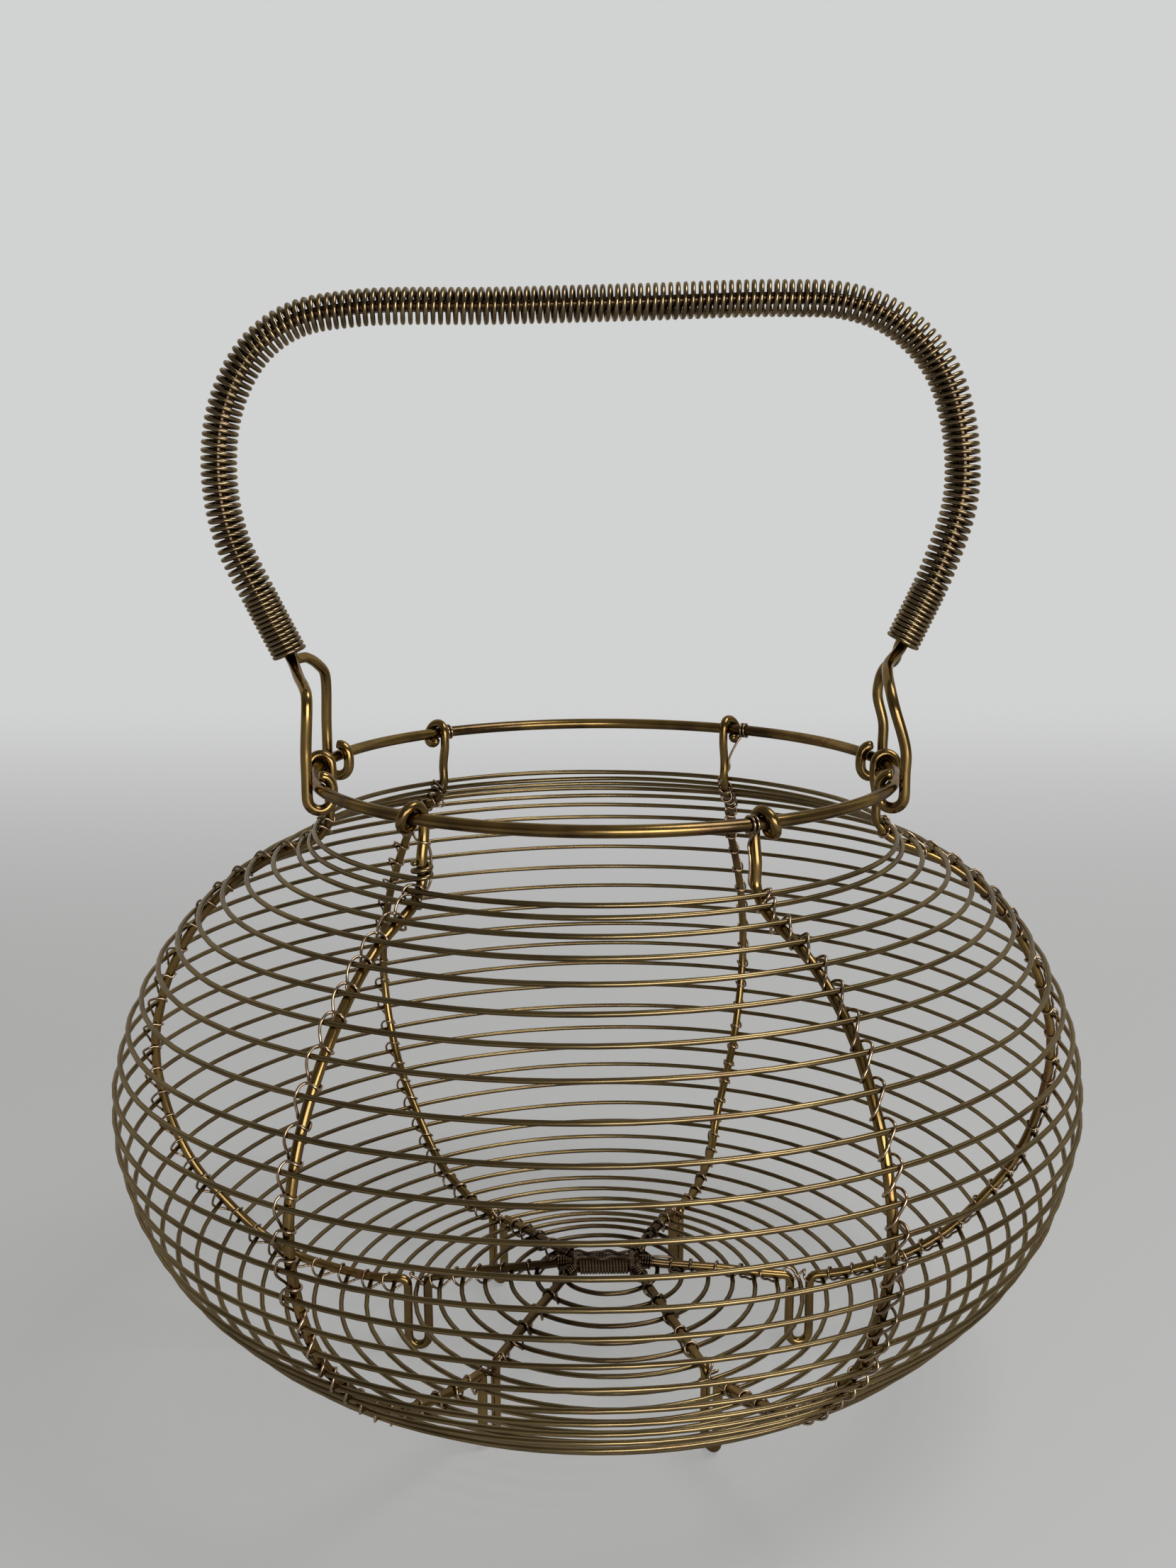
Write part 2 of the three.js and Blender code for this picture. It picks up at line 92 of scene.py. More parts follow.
# Heights, radii, lengths and pitches, in millimetres, and counts of turns
NECK_HEIGHT = 152.3
BELLY_RADIUS = 123.8
BELLY_HEIGHT = 85.8
BASE_HEIGHT = 20.0
WALL_TURNS = 35 + 1 / 6
WRAP_TURNS = 2
WRAP_PITCH = 1.8
FOOT_RADIUS = 52.5
FOOT_WIDTH = 5.6
FOOT_SHOULDER = 2.0
HUB_LENGTH = 14.0
HUB_TURNS = 16
HUB_PITCH = 0.83
TIE_WIRE = 0.9
KNOT_PLACE = 7.4
KNOT_SIZE = 0.75
EYE_DROP = 2.4
GRIP_FOOT = 195.5
BAIL_HALF_WIDTH = 93.6
BAIL_LEAN = -3.1
BAIL_RISE = 89.0
# Free space between wires that lie side by side, in millimetres
EYE_SPACE = 0.1
WRAP_SPACE = 0.1
RIB_SPACE = 0.15
BAIL_EYE_SPACE = 0.2
STRAND_SPACE = 0.03
CURL_SPACE = 0.05
TIE_SPACE = 0.05
HOOK_SPACE = 0.03
# Turn of the wall wire on which the ribs rest at the hub
HUB_WALL_TURN = 35
# How far outside the legs' shanks the wall wire starts, in millimetres
NECK_STEP = 1.0
# Turns of the wall between which the legs lean to one side, above and below the belly
UPPER_LEAN = (0, 8)
MIDDLE_TURN = 10
LOWER_LEAN = (21, 28)
# Turns between which the body below the mouth goes out of round
MOUTH_TO_BODY = (0.5, 9)
# Rim turns of each binding wire, their spacing beyond touching, and the angle at which they start
RIM_TURNS = 2
RIM_TURN_SPACE = 0.35
RIM_TURN_START = -100
# The camera's place about the basket's axis, in millimetres, and its pitch, roll and yaw in degrees
CAMERA_PLACE = (-11.31, -423.41, 245.24)
CAMERA_ANGLES = (90 - 11.10, 0.05, -0.98)
# How near the middle of the base the binding wires come, and their close turns there
HUB_CLEAR = 9.6
CLOSE_LENGTH = 3.6
CLOSE_TURNS = 4
# Start of the front left binding: along the rim, out from the shank, and height
# above the rim for the first rows or above the shank's start for the rest
FRONT_LEFT_START = {
    "rim": [(-4.6, 0.4, -2.6), (-3.6, 1.2, -4.6)],
    "shank": [(-2.0, 1.6, 2.6), (-0.3, 1.7, 1.0), (1.3, 1.1, 0.4), (1.7, -0.4, 0.1)],
}

# Wall section as turn, share of the neck-to-belly radius, share of the height
SHOULDER = [
    (0, 0, 0), (1, 0.026, 0.038), (2, 0.071, 0.071), (4, 0.321, 0.155), (6, 0.553, 0.284),
    (8, 0.746, 0.454), (10, 0.906, 0.678), (12, 0.988, 0.895), (13, 1, 1),
]
# and below the belly as turn, share of the belly radius, share of the height
UNDERSIDE = [
    (14, 0.998, 0.105), (16, 0.973, 0.316), (18, 0.926, 0.517), (20, 0.863, 0.67),
    (22, 0.783, 0.822), (24, 0.695, 0.922), (26, 0.586, 0.982), (28, 0.481, 1.008),
    (30, 0.374, 0.995), (32, 0.273, 0.965), (34, 0.158, 0.939), (35.5, 0.077, 0.918),
]
# How far the body is out of round, as shares of its radius for one, two and three waves round it
OUT_OF_ROUND = [(0.0044, -0.0023), (0.0168, 0.0244), (-0.0079, 0.0008)]
# Centre line of the grip, from its left end over the top, as shares of its half width and rise
GRIP_LINE = [
    (-0.822, 0), (-0.895, 0.155), (-0.974, 0.339), (-1, 0.511), (-0.978, 0.697), (-0.9, 0.852),
    (-0.792, 0.937), (-0.625, 0.972), (-0.252, 0.979), (0.123, 0.989), (0.498, 1), (0.684, 0.99),
    (0.812, 0.938), (0.926, 0.821), (0.987, 0.654), (1, 0.456), (0.949, 0.262), (0.85, 0.028),
]
# Bends of each strand below the grip: out from the shank, share of the way to it, drop from the grip's end
STRAND_BENDS = {
    "front_left": [(3.3, 0.45, 3.4), (0.8, 0.78, 4.9), (-0.5, 0.97, 6.8)],
    "back_left": [(2.7, 0.32, 0.9), (0.7, 0.65, 3.6), (-0.3, 0.9, 7)],
    "front_right": [(-1.4, 0.3, 3.3), (-3.1, 0.6, 5), (-3.7, 0.86, 7.6), (-3.2, 0.98, 11.5)],
    "back_right": [(0.5, 0.36, 4.4), (-0.9, 0.71, 6.9), (-1.5, 0.96, 10.6), (-1.8, 1, 15)],
}


class BasketWires(bpy.types.PropertyGroup):
    """Diameters of the wires, in millimetres"""

    rim: FloatProperty(
        name="Rim wire", description="Diameter of the rim ring's wire",
        default=3.0, min=2.5, max=3.2)
    rib: FloatProperty(
        name="Rib wire", description="Diameter of the rib wires",
        default=2.5, min=2.0, max=2.7)
    wall: FloatProperty(
        name="Wall wire", description="Diameter of the wound wall wire",
        default=1.3, min=0.9, max=1.5)
    binding: FloatProperty(
        name="Binding wire", description="Diameter of the fine tying wire",
        default=0.7, min=0.3, max=0.8)
    hub: FloatProperty(
        name="Hub wire", description="Diameter of the wire wound round the hub",
        default=0.8, min=0.5, max=1.0)
    bail: FloatProperty(
        name="Bail wire", description="Diameter of the two bail strands",
        default=2.8, min=2.3, max=3.0)
    grip: FloatProperty(
        name="Grip wire", description="Diameter of the wire wound over the grip",
        default=1.2, min=0.8, max=1.3)


class BasketWinding(bpy.types.PropertyGroup):
    """How the wires are wound"""

    grip_outer: FloatProperty(
        name="Grip diameter", description="Outer diameter of the grip's coil, in millimetres",
        default=9.2, min=8.5, max=9.6)
    grip_pitch: FloatProperty(
        name="Grip pitch", description="Distance from curl to curl over the grip, in millimetres",
        default=1.87, min=1.4, max=2.4)
    close_left: IntProperty(
        name="Close curls left", description="Close-wound curls at the grip's left end",
        default=14, min=0, max=30)
    close_right: IntProperty(
        name="Close curls right", description="Close-wound curls at the grip's right end",
        default=12, min=0, max=30)
    unevenness: FloatProperty(
        name="Unevenness",
        description="How far the wall wire strays between the ribs, in millimetres",
        default=0.45, min=0.0, max=1.0)


class BasketFinish(bpy.types.PropertyGroup):
    """Colours of the finishes"""

    lacquer: FloatVectorProperty(
        name="Lacquered brass", description="Clean golden-brown wire",
        subtype="COLOR", default=(0.24, 0.15, 0.042), min=0, max=1)
    wall: FloatVectorProperty(
        name="Wall brass", description="Duller olive tan of the wall wire",
        subtype="COLOR", default=(0.21, 0.15, 0.063), min=0, max=1)
    # also the colour of the painted shade under the wires and on the bail strands inside the grip
    tarnish_and_shade: FloatVectorProperty(
        name="Tarnish", description="Dark brown film on the wires",
        subtype="COLOR", default=(0.045, 0.024, 0.008), min=0, max=1)
    oxide: FloatVectorProperty(
        name="Oxide", description="Reddish spots where the lacquer has gone",
        subtype="COLOR", default=(0.15, 0.05, 0.025), min=0, max=1)
    copper: FloatVectorProperty(
        name="Binding", description="Coppery fine wire",
        subtype="COLOR", default=(0.44, 0.32, 0.20), min=0, max=1)
    dark_wire: FloatVectorProperty(
        name="Hub wire", description="Dark brown wire at the hub",
        subtype="COLOR", default=(0.045, 0.027, 0.015), min=0, max=1)
    grip: FloatVectorProperty(
        name="Grip wire", description="Dark grey-brown wire of the grip",
        subtype="COLOR", default=(0.26, 0.19, 0.098), min=0, max=1)


class BasketStage(bpy.types.PropertyGroup):
    """Floor, light and camera"""

    floor: FloatVectorProperty(
        name="Floor", description="Colour of the floor",
        subtype="COLOR", default=(0.50, 0.495, 0.485), min=0, max=1)
    backdrop: FloatVectorProperty(
        name="Backdrop", description="Colour of the pale wall behind",
        subtype="COLOR", default=(0.64, 0.645, 0.645), min=0, max=1)
    soft_light: FloatProperty(
        name="Soft light", description="Power of the soft lamp above and to the right",
        subtype="POWER", unit="POWER", default=8.5, min=0, max=100)
    window_light: FloatProperty(
        name="Window light", description="Power of the low, wide lamp in front",
        subtype="POWER", unit="POWER", default=9.0, min=0, max=100)
    lens: FloatProperty(
        name="Lens", description="Focal length of the camera, in millimetres on a 36 mm side",
        default=37.92, min=20, max=90)


def spline(rows, column):
    """Smooth curve through a table of parameter and values."""
    slopes = []
    for i in range(len(rows)):
        a, b = rows[max(i - 1, 0)], rows[min(i + 1, len(rows) - 1)]
        slopes.append((b[column] - a[column]) / (b[0] - a[0]))

    def value(s):
        i = 0
        while i < len(rows) - 2 and s > rows[i + 1][0]:
            i += 1
        h = rows[i + 1][0] - rows[i][0]
        t = (s - rows[i][0]) / h
        return ((2 * t**3 - 3 * t**2 + 1) * rows[i][column] + (t**3 - 2 * t**2 + t) * h * slopes[i]
                + (3 * t**2 - 2 * t**3) * rows[i + 1][column] + (t**3 - t**2) * h * slopes[i + 1])

    return value


def smoothstep(x, low, high):
    """0 below low, 1 above high, and a smooth rise between."""
    t = min(max((x - low) / (high - low), 0), 1)
    return t * t * (3 - 2 * t)


def out(azimuth):
    """Unit vector away from the basket's axis."""
    return Vector((math.cos(azimuth), math.sin(azimuth), 0))


def left(azimuth):
    """Unit vector round the basket's axis, anticlockwise from above."""
    return Vector((-math.sin(azimuth), math.cos(azimuth), 0))


def up(height):
    """A height as a vector."""
    return Vector((0, 0, height))


def through(points, step):
    """Points a step apart on a smooth curve through the given ones."""
    pts = [Vector(p) for p in points]
    ends = [2 * pts[0] - pts[1]] + pts + [2 * pts[-1] - pts[-2]]
    dense = []
    for i in range(1, len(ends) - 2):
        p0, p1, p2, p3 = ends[i - 1:i + 3]
        t1 = max((p1 - p0).length, 1e-4) ** 0.5
        t2 = t1 + max((p2 - p1).length, 1e-4) ** 0.5
        t3 = t2 + max((p3 - p2).length, 1e-4) ** 0.5
        count = max(2, math.ceil((p2 - p1).length / step * 2))
        for j in range(count):
            t = t1 + (t2 - t1) * j / count
            a1 = p0 * (t1 - t) / t1 + p1 * t / t1
            a2 = p1 * (t2 - t) / (t2 - t1) + p2 * (t - t1) / (t2 - t1)
            a3 = p2 * (t3 - t) / (t3 - t2) + p3 * (t - t2) / (t3 - t2)
            b1 = a1 * (t2 - t) / t2 + a2 * t / t2
            b2 = a2 * (t3 - t) / (t3 - t1) + a3 * (t - t1) / (t3 - t1)
            dense.append(b1 * (t2 - t) / (t2 - t1) + b2 * (t - t1) / (t2 - t1))
    dense.append(pts[-1])
    return spaced(dense, step)


def lengths(points):
    """Length of the line up to each of its points."""
    total = [0.0]
    for a, b in zip(points, points[1:]):
        total.append(total[-1] + (b - a).length)
    return total


def spaced(points, step):
    """The same line with its points evenly spaced."""
    total = lengths(points)
    count = max(1, round(total[-1] / step))
    result, i = [], 0
    for k in range(count + 1):
        d = total[-1] * k / count
        while i < len(points) - 2 and total[i + 1] < d:
            i += 1
        span = total[i + 1] - total[i] or 1
        result.append(points[i].lerp(points[i + 1], (d - total[i]) / span))
    return result


class Wall:
    """The wound wall: where the wire's centre runs at each turn."""

    def __init__(self, wires):
        self.wires = wires
        self.rim_radius = (RIM_HIGH.x - RIM_LOW.x) / 2 / MM - wires.rim / 2
        self.rim_height = AXIS.z
        self.eye_radius = (wires.rim + wires.rib) / 2 + EYE_SPACE
        self.shaft_radius = self.rim_radius - self.eye_radius
        self.to_leg = (wires.wall + wires.rib) / 2
        self.wrap_radius = self.to_leg + WRAP_SPACE
        neck = self.shaft_radius + self.to_leg + NECK_STEP
        rows = [(s, neck + (BELLY_RADIUS - neck) * u, NECK_HEIGHT + (BELLY_HEIGHT - NECK_HEIGHT) * w)
                for s, u, w in SHOULDER]
        rows += [(s, BELLY_RADIUS * v, BELLY_HEIGHT + (BASE_HEIGHT - BELLY_HEIGHT) * w)
                 for s, v, w in UNDERSIDE]
        self.radius = spline(rows, 1)
        self.height = spline(rows, 2)
        self.hub_height = self.height(HUB_WALL_TURN) + self.to_leg

    def normal(self, s):
        """Outward direction of the wall at a turn, as its radial and upward shares."""
        dr = self.radius(s + 0.02) - self.radius(s - 0.02)
        dz = self.height(s + 0.02) - self.height(s - 0.02)
        length = math.hypot(dr, dz)
        return -dz / length, dr / length

    def leg_azimuth(self, leg, s):
        """Where a leg stands at a turn of the wall, in degrees."""
        rim, belly, foot = LEG_AZIMUTHS[leg]
        if s < MIDDLE_TURN:
            return rim + (belly - rim) * smoothstep(s, *UPPER_LEAN)
        return belly + (foot - belly) * smoothstep(s, *LOWER_LEAN)

    def azimuth(self, s):
        """Where the wall wire is after s turns, with a sixth of a turn from leg to leg."""
        sixth = (s % 1) * 6
        i = min(int(sixth + 1e-9), 5)
        start = self.leg_azimuth(LEGS[i], s)
        end = self.leg_azimuth(LEGS[(i + 1) % 6], s) - (360 if i == 5 else 0)
        if start < end:
            end -= 360
        return math.radians(start + (end - start) * (sixth - i))

    def swell(self, azimuth, s):
        """The mouth and the feet stand on true circles, and the body between is out of round."""
        share = smoothstep(s, *MOUTH_TO_BODY) * (1 - smoothstep(s, *LOWER_LEAN))
        waves = sum(c * math.cos((k + 1) * azimuth) + d * math.sin((k + 1) * azimuth)
                    for k, (c, d) in enumerate(OUT_OF_ROUND))
        return 1 + share * waves

    def point(self, s, stray=0.0):
        """Centre of the wire at a turn, straying a little between the ribs."""
        a = self.azimuth(s)
        nr, nz = self.normal(s)
        r, z = self.radius(s) * self.swell(a, s), self.height(s)
        if stray:
            between = math.sin(math.pi * ((s % 1) * 6 % 1)) ** 2
            seed = Vector((math.cos(a) * 1.3, math.sin(a) * 1.3, s * 2.7))
            slip = noise.noise(seed) * stray * between
            bulge = noise.noise(seed + Vector((9, 4, 7))) * stray * 0.8 * between
            r, z = r + nr * bulge - nz * slip, z + nz * bulge + nr * slip
        return out(a) * r + up(z)

    def leg(self, s, azimuth=None):
        """Radius and height of a leg's centre where it meets this turn."""
        nr, nz = self.normal(s)
        swell = 1 if azimuth is None else self.swell(azimuth, s)
        return self.radius(s) * swell - nr * self.to_leg, self.height(s) - nz * self.to_leg

    def base_height(self, radius):
        """Height of a leg's centre where it runs under the base at this radius."""
        low, high = 26.0, 35.5
        for _ in range(40):
            middle = (low + high) / 2
            if self.leg(middle)[0] > radius:
                low = middle
            else:
                high = middle
        return self.leg(low)[1]

    def foot_turn(self, leg):
        """The turn of the wall that passes a leg nearest its foot."""
        j = LEGS.index(leg) / 6
        return min((k + j for k in range(20, 34)), key=lambda s: abs(self.radius(s) - FOOT_RADIUS))


def leg_line(wall, leg):
    """One rib leg, from the cut end of its eye to the hub, as rough points."""
    wires = wall.wires
    turn = LEG_EYE_SIDE[leg]
    inward = 1 if math.cos(math.radians(LEG_AZIMUTHS[leg][1])) > 0 else -1
    points = []
    azimuth = math.radians(LEG_AZIMUTHS[leg][0])

    def at(r, z, t=0.0):
        points.append(out(azimuth) * r + left(azimuth) * (t * turn) + up(z))

    # the eye, from its cut end under, round and over the rim to the shank inside it
    for i in range(21):
        angle = math.radians(-150 + 16.5 * i)
        at(wall.rim_radius + wall.eye_radius * math.cos(angle),
           wall.rim_height + wall.eye_radius * math.sin(angle),
           (wires.rib + RIB_SPACE) * smoothstep(20 - i, 4, 16))
    at(wall.shaft_radius, wall.rim_height - 4)
    at(wall.radius(0) - wall.wrap_radius, NECK_HEIGHT + (WRAP_TURNS + 0.6) * WRAP_PITCH)
    at(wall.radius(0) - wall.wrap_radius, NECK_HEIGHT - 0.8)
    # down the inside of the wall
    s = 1.0
    while s < 24.6:
        azimuth = math.radians(wall.leg_azimuth(leg, s))
        at(*wall.leg(s, azimuth))
        s += 0.5
    azimuth = math.radians(LEG_AZIMUTHS[leg][2])
    foot = wall.radius(wall.foot_turn(leg))
    half = FOOT_WIDTH / 2
    outer, inner = foot + half + FOOT_SHOULDER, foot - half - FOOT_SHOULDER
    for r in (outer + 9, outer + 3):
        if r < wall.leg(25.2)[0]:
            at(r, wall.base_height(r))

    def bend(centre_r, centre_z, radius, start, end, steps):
        for i in range(steps + 1):
            angle = math.radians(start + (end - start) * i / steps)
            at(centre_r + radius * math.cos(angle), centre_z + radius * math.sin(angle))

    # the foot's loop, between its two shoulders
    low = wires.rib / 2 + half
    bend(outer, wall.base_height(outer) - FOOT_SHOULDER, FOOT_SHOULDER, 90, 180, 5)
    bend(foot, low, half, 360, 180, 10)
    bend(inner, wall.base_height(inner) - FOOT_SHOULDER, FOOT_SHOULDER, 0, 90, 5)
    # and along the base to the leg's place beside the other two ribs
    start = points[-1].copy()
    row = {"front": -1, "middle": 0, "back": 1}[rib_of(leg)] * (wires.rib + RIB_SPACE)
    end = Vector((inward * (HUB_LENGTH / 2 + 1.2), row, 0))
    for t in (0.2, 0.4, 0.6, 0.8, 0.95):
        p = start.lerp(end, t)
        p.z = wall.base_height(max(math.hypot(p.x, p.y), 10))
        points.append(p)
    points.append(Vector((inward * (HUB_LENGTH / 2 - 0.5), row, wall.hub_height)))
    return points


def rib_of(leg):
    """The rib wire that a leg belongs to."""
    return next(rib for rib, pair in RIBS.items() if leg in pair)


def grip_line():
    """The grip's centre line, as fine points."""
    return through([(BAIL_LEAN + BAIL_HALF_WIDTH * u, 0, GRIP_FOOT + BAIL_RISE * w)
                    for u, w in GRIP_LINE], 0.5)


def eye_line(wall, which):
    """Shank and eye of a bail strand, from above down and round the rim ring."""
    azimuth = math.radians(EYE_AZIMUTHS[which])
    radius = (wall.wires.rim + wall.wires.bail) / 2 + BAIL_EYE_SPACE
    points = []

    def at(angle, z):
        angle = math.radians(angle)
        points.append(out(azimuth) * (wall.rim_radius + radius * math.cos(angle))
                      + up(z + radius * math.sin(angle)))

    at(0, wall.rim_height + 9)
    at(0, wall.rim_height + 3)
    for i in range(11):
        at(-18 * i, wall.rim_height - EYE_DROP)
    for i in range(7):
        at(180 - 15 * i, wall.rim_height)
    return points


def wire(name, points, diameter, resolution, slot, body, closed=False, cut=True):
    """A round drawn wire along the points, given in millimetres about the basket's axis."""
    centre = Vector((AXIS.x, AXIS.y, 0))
    curve = bpy.data.curves.new(name, "CURVE")
    curve.dimensions = "3D"
    curve.bevel_depth = diameter / 2 * MM
    curve.bevel_resolution = resolution
    curve.use_fill_caps = not closed
    line = curve.splines.new("POLY")
    line.points.add(len(points) - 1)
    for point, p in zip(line.points, points):
        point.co = ((p + centre) * MM).to_4d()
    line.use_cyclic_u = closed
    if cut and not closed:
        # a cut end's edge is a little rounded
        for i, size in ((0, 0.84), (-1, 0.84), (1, 0.97), (-2, 0.97)):
            line.points[i].radius = size
    rough = bpy.data.objects.new(name, curve)
    bpy.context.scene.collection.objects.link(rough)
    depsgraph = bpy.context.evaluated_depsgraph_get()
    mesh = bpy.data.meshes.new_from_object(rough.evaluated_get(depsgraph), depsgraph=depsgraph)
    bpy.data.objects.remove(rough)
    bpy.data.curves.remove(curve)
    return finished(name, mesh, slot, body)


def finished(name, rough, slot, body):
    """Welds a rough mesh, shades it smooth, gives it its finish and hangs it on its body."""
    bm = bmesh.new()
    bm.from_mesh(rough)
    bpy.data.meshes.remove(rough)
    bmesh.ops.remove_doubles(bm, verts=bm.verts, dist=1e-6)
    bmesh.ops.recalc_face_normals(bm, faces=bm.faces)
    for face in bm.faces:
        face.smooth = len(face.verts) < 5
    for edge in bm.edges:
        if any(not face.smooth for face in edge.link_faces):
            edge.smooth = False
    mesh = bpy.data.meshes.new(name)
    bm.to_mesh(mesh)
    bm.free()
    piece = bpy.data.objects.new(name, mesh)
    bpy.context.scene.collection.objects.link(piece)
    piece.data.materials.append(finish(slot))
    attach(piece, body)
    return piece


def group(name, inputs, outputs):
    """A new shader node group with named sockets, and its input and output nodes."""
    tree = bpy.data.node_groups.new(name, "ShaderNodeTree")
    kinds = {"value": "NodeSocketFloat", "colour": "NodeSocketColor", "vector": "NodeSocketVector"}
    for label, kind, default in inputs:
        socket = tree.interface.new_socket(name=label, in_out="INPUT", socket_type=kinds[kind])
        if kind != "vector":
            socket.default_value = default
    for label, kind in outputs:
        tree.interface.new_socket(name=label, in_out="OUTPUT", socket_type=kinds[kind])
    return tree, tree.nodes.new("NodeGroupInput"), tree.nodes.new("NodeGroupOutput")


def noise_node(tree, vector, scale, detail, roughness):
    node = tree.nodes.new("ShaderNodeTexNoise")
    node.inputs["Scale"].default_value = scale
    node.inputs["Detail"].default_value = detail
    node.inputs["Roughness"].default_value = roughness
    tree.links.new(vector, node.inputs["Vector"])
    return node.outputs["Fac"]


def step_node(tree, value, low, high, start=0.0):
    """A smooth step from start to 1 as the value goes from low to high."""
    node = tree.nodes.new("ShaderNodeMapRange")
    node.interpolation_type = "SMOOTHSTEP"
    for label, v in (("From Min", low), ("From Max", high), ("To Min", start), ("To Max", 1.0)):
        node.inputs[label].default_value = v
    tree.links.new(value, node.inputs["Value"])
    return node.outputs["Result"]


def math_node(tree, operation, a, b):
    node = tree.nodes.new("ShaderNodeMath")
    node.operation = operation
    for socket, v in zip(node.inputs, (a, b)):
        if isinstance(v, (int, float)):
            socket.default_value = v
        else:
            tree.links.new(v, socket)
    return node.outputs[0]


def mix_node(tree, share, a, b):
    node = tree.nodes.new("ShaderNodeMix")
    node.data_type = "RGBA"
    tree.links.new(share, node.inputs[0])
    for socket, v in ((node.inputs[6], a), (node.inputs[7], b)):
        if isinstance(v, (tuple, list)):
            socket.default_value = (*v[:3], 1)
        else:
            tree.links.new(v, socket)
    return node.outputs[2]


def aged_wire():
    """Lacquered wire: clean metal, small oxide spots and specks, and darker near the hub.
    Tarnish lies in soft brown patches, and painted shade darkens the undersides and the bail strands
    inside the grip."""
    name = "aged_wire"
    if name in bpy.data.node_groups:
        return bpy.data.node_groups[name]
    tree, given, result = group(
        name,
        [("Place", "vector", None), ("Facing", "vector", None), ("Clean", "colour", (0.5, 0.4, 0.2, 1)),
         ("Tarnish", "colour", (0.15, 0.1, 0.05, 1)), ("Oxide", "colour", (0.2, 0.07, 0.04, 1)),
         ("Tarnish Share", "value", 0.5), ("Oxide Share", "value", 0.1), ("Roughness", "value", 0.35),
         ("Painted Grip Shade", "value", 0.0)],
        [("Colour", "colour"), ("Roughness", "value"), ("Height", "value")])
    place = given.outputs["Place"]

    def times(a, b):
        return math_node(tree, "MULTIPLY", a, b)

    def plus(a, b):
        return math_node(tree, "ADD", a, b)

    # patterns over the surface
    patches = noise_node(tree, place, 55, 2, 0.5)
    streaks = noise_node(tree, place, 240, 2, 0.5)
    specks = noise_node(tree, place, 1500, 2, 0.5)
    oxide_patch = noise_node(tree, place, 38, 5, 0.65)
    oxide_fine = noise_node(tree, place, 700, 3, 0.6)
    marks = noise_node(tree, place, 2600, 2, 0.5)
    patch_mask = step_node(tree, patches, 0.36, 0.66)
    streak_mask = step_node(tree, streaks, 0.38, 0.68)
    mottled = plus(times(patch_mask, 0.8), times(streak_mask, 0.2))
    mottled = times(mottled, given.outputs["Tarnish Share"])
    facing = tree.nodes.new("ShaderNodeSeparateXYZ")
    tree.links.new(given.outputs["Facing"], facing.inputs[0])
    # painted shade: the wires' undersides are darkened, as if in their own shadow
    under = step_node(tree, facing.outputs["Z"], 0.45, -0.55)
    # places on the basket, in metres: near the hub, and above the grip's ends, where the bail strands
    # inside the coil get painted shade
    at = tree.nodes.new("ShaderNodeSeparateXYZ")
    tree.links.new(place, at.inputs[0])
    flat = tree.nodes.new("ShaderNodeCombineXYZ")
    tree.links.new(at.outputs["X"], flat.inputs["X"])
    tree.links.new(at.outputs["Y"], flat.inputs["Y"])
    away = tree.nodes.new("ShaderNodeVectorMath")
    away.operation = "LENGTH"
    tree.links.new(flat.outputs[0], away.inputs[0])
    # darker towards the middle of the base, fading out by 55 mm from the axis and 70 mm up
    near_hub = times(step_node(tree, away.outputs["Value"], 0.055, 0.012),
                     step_node(tree, at.outputs["Z"], 0.07, 0.04))
    # painted shade: the bail strands darkened where they run inside the grip's coil
    painted_grip_shade = times(step_node(tree, at.outputs["Z"], 0.205, 0.215), given.outputs["Painted Grip Shade"])
    dark = math_node(tree, "MAXIMUM", times(near_hub, 0.75), painted_grip_shade)
    # tarnish patches, plus painted shade underneath and inside the grip, plus darkening near the hub
    tarnish_and_shade = math_node(tree, "MINIMUM", plus(plus(mottled, times(under, 0.3)), dark), 1.0)
    # colour, roughness and height from them
    colour = mix_node(tree, tarnish_and_shade, given.outputs["Clean"], given.outputs["Tarnish"])
    oxide = times(step_node(tree, oxide_patch, 0.56, 0.68), step_node(tree, oxide_fine, 0.42, 0.62))
    oxide = times(oxide, given.outputs["Oxide Share"])
    colour = mix_node(tree, oxide, colour, given.outputs["Oxide"])
    speck = times(step_node(tree, specks, 0.64, 0.72), 0.08)
    colour = mix_node(tree, speck, colour, given.outputs["Tarnish"])
    rough = plus(plus(given.outputs["Roughness"], times(tarnish_and_shade, 0.06)), times(oxide, 0.3))
    height = plus(times(marks, 0.5), times(oxide, 0.5))
    tree.links.new(colour, result.inputs["Colour"])
    tree.links.new(rough, result.inputs["Roughness"])
    tree.links.new(height, result.inputs["Height"])
    return tree


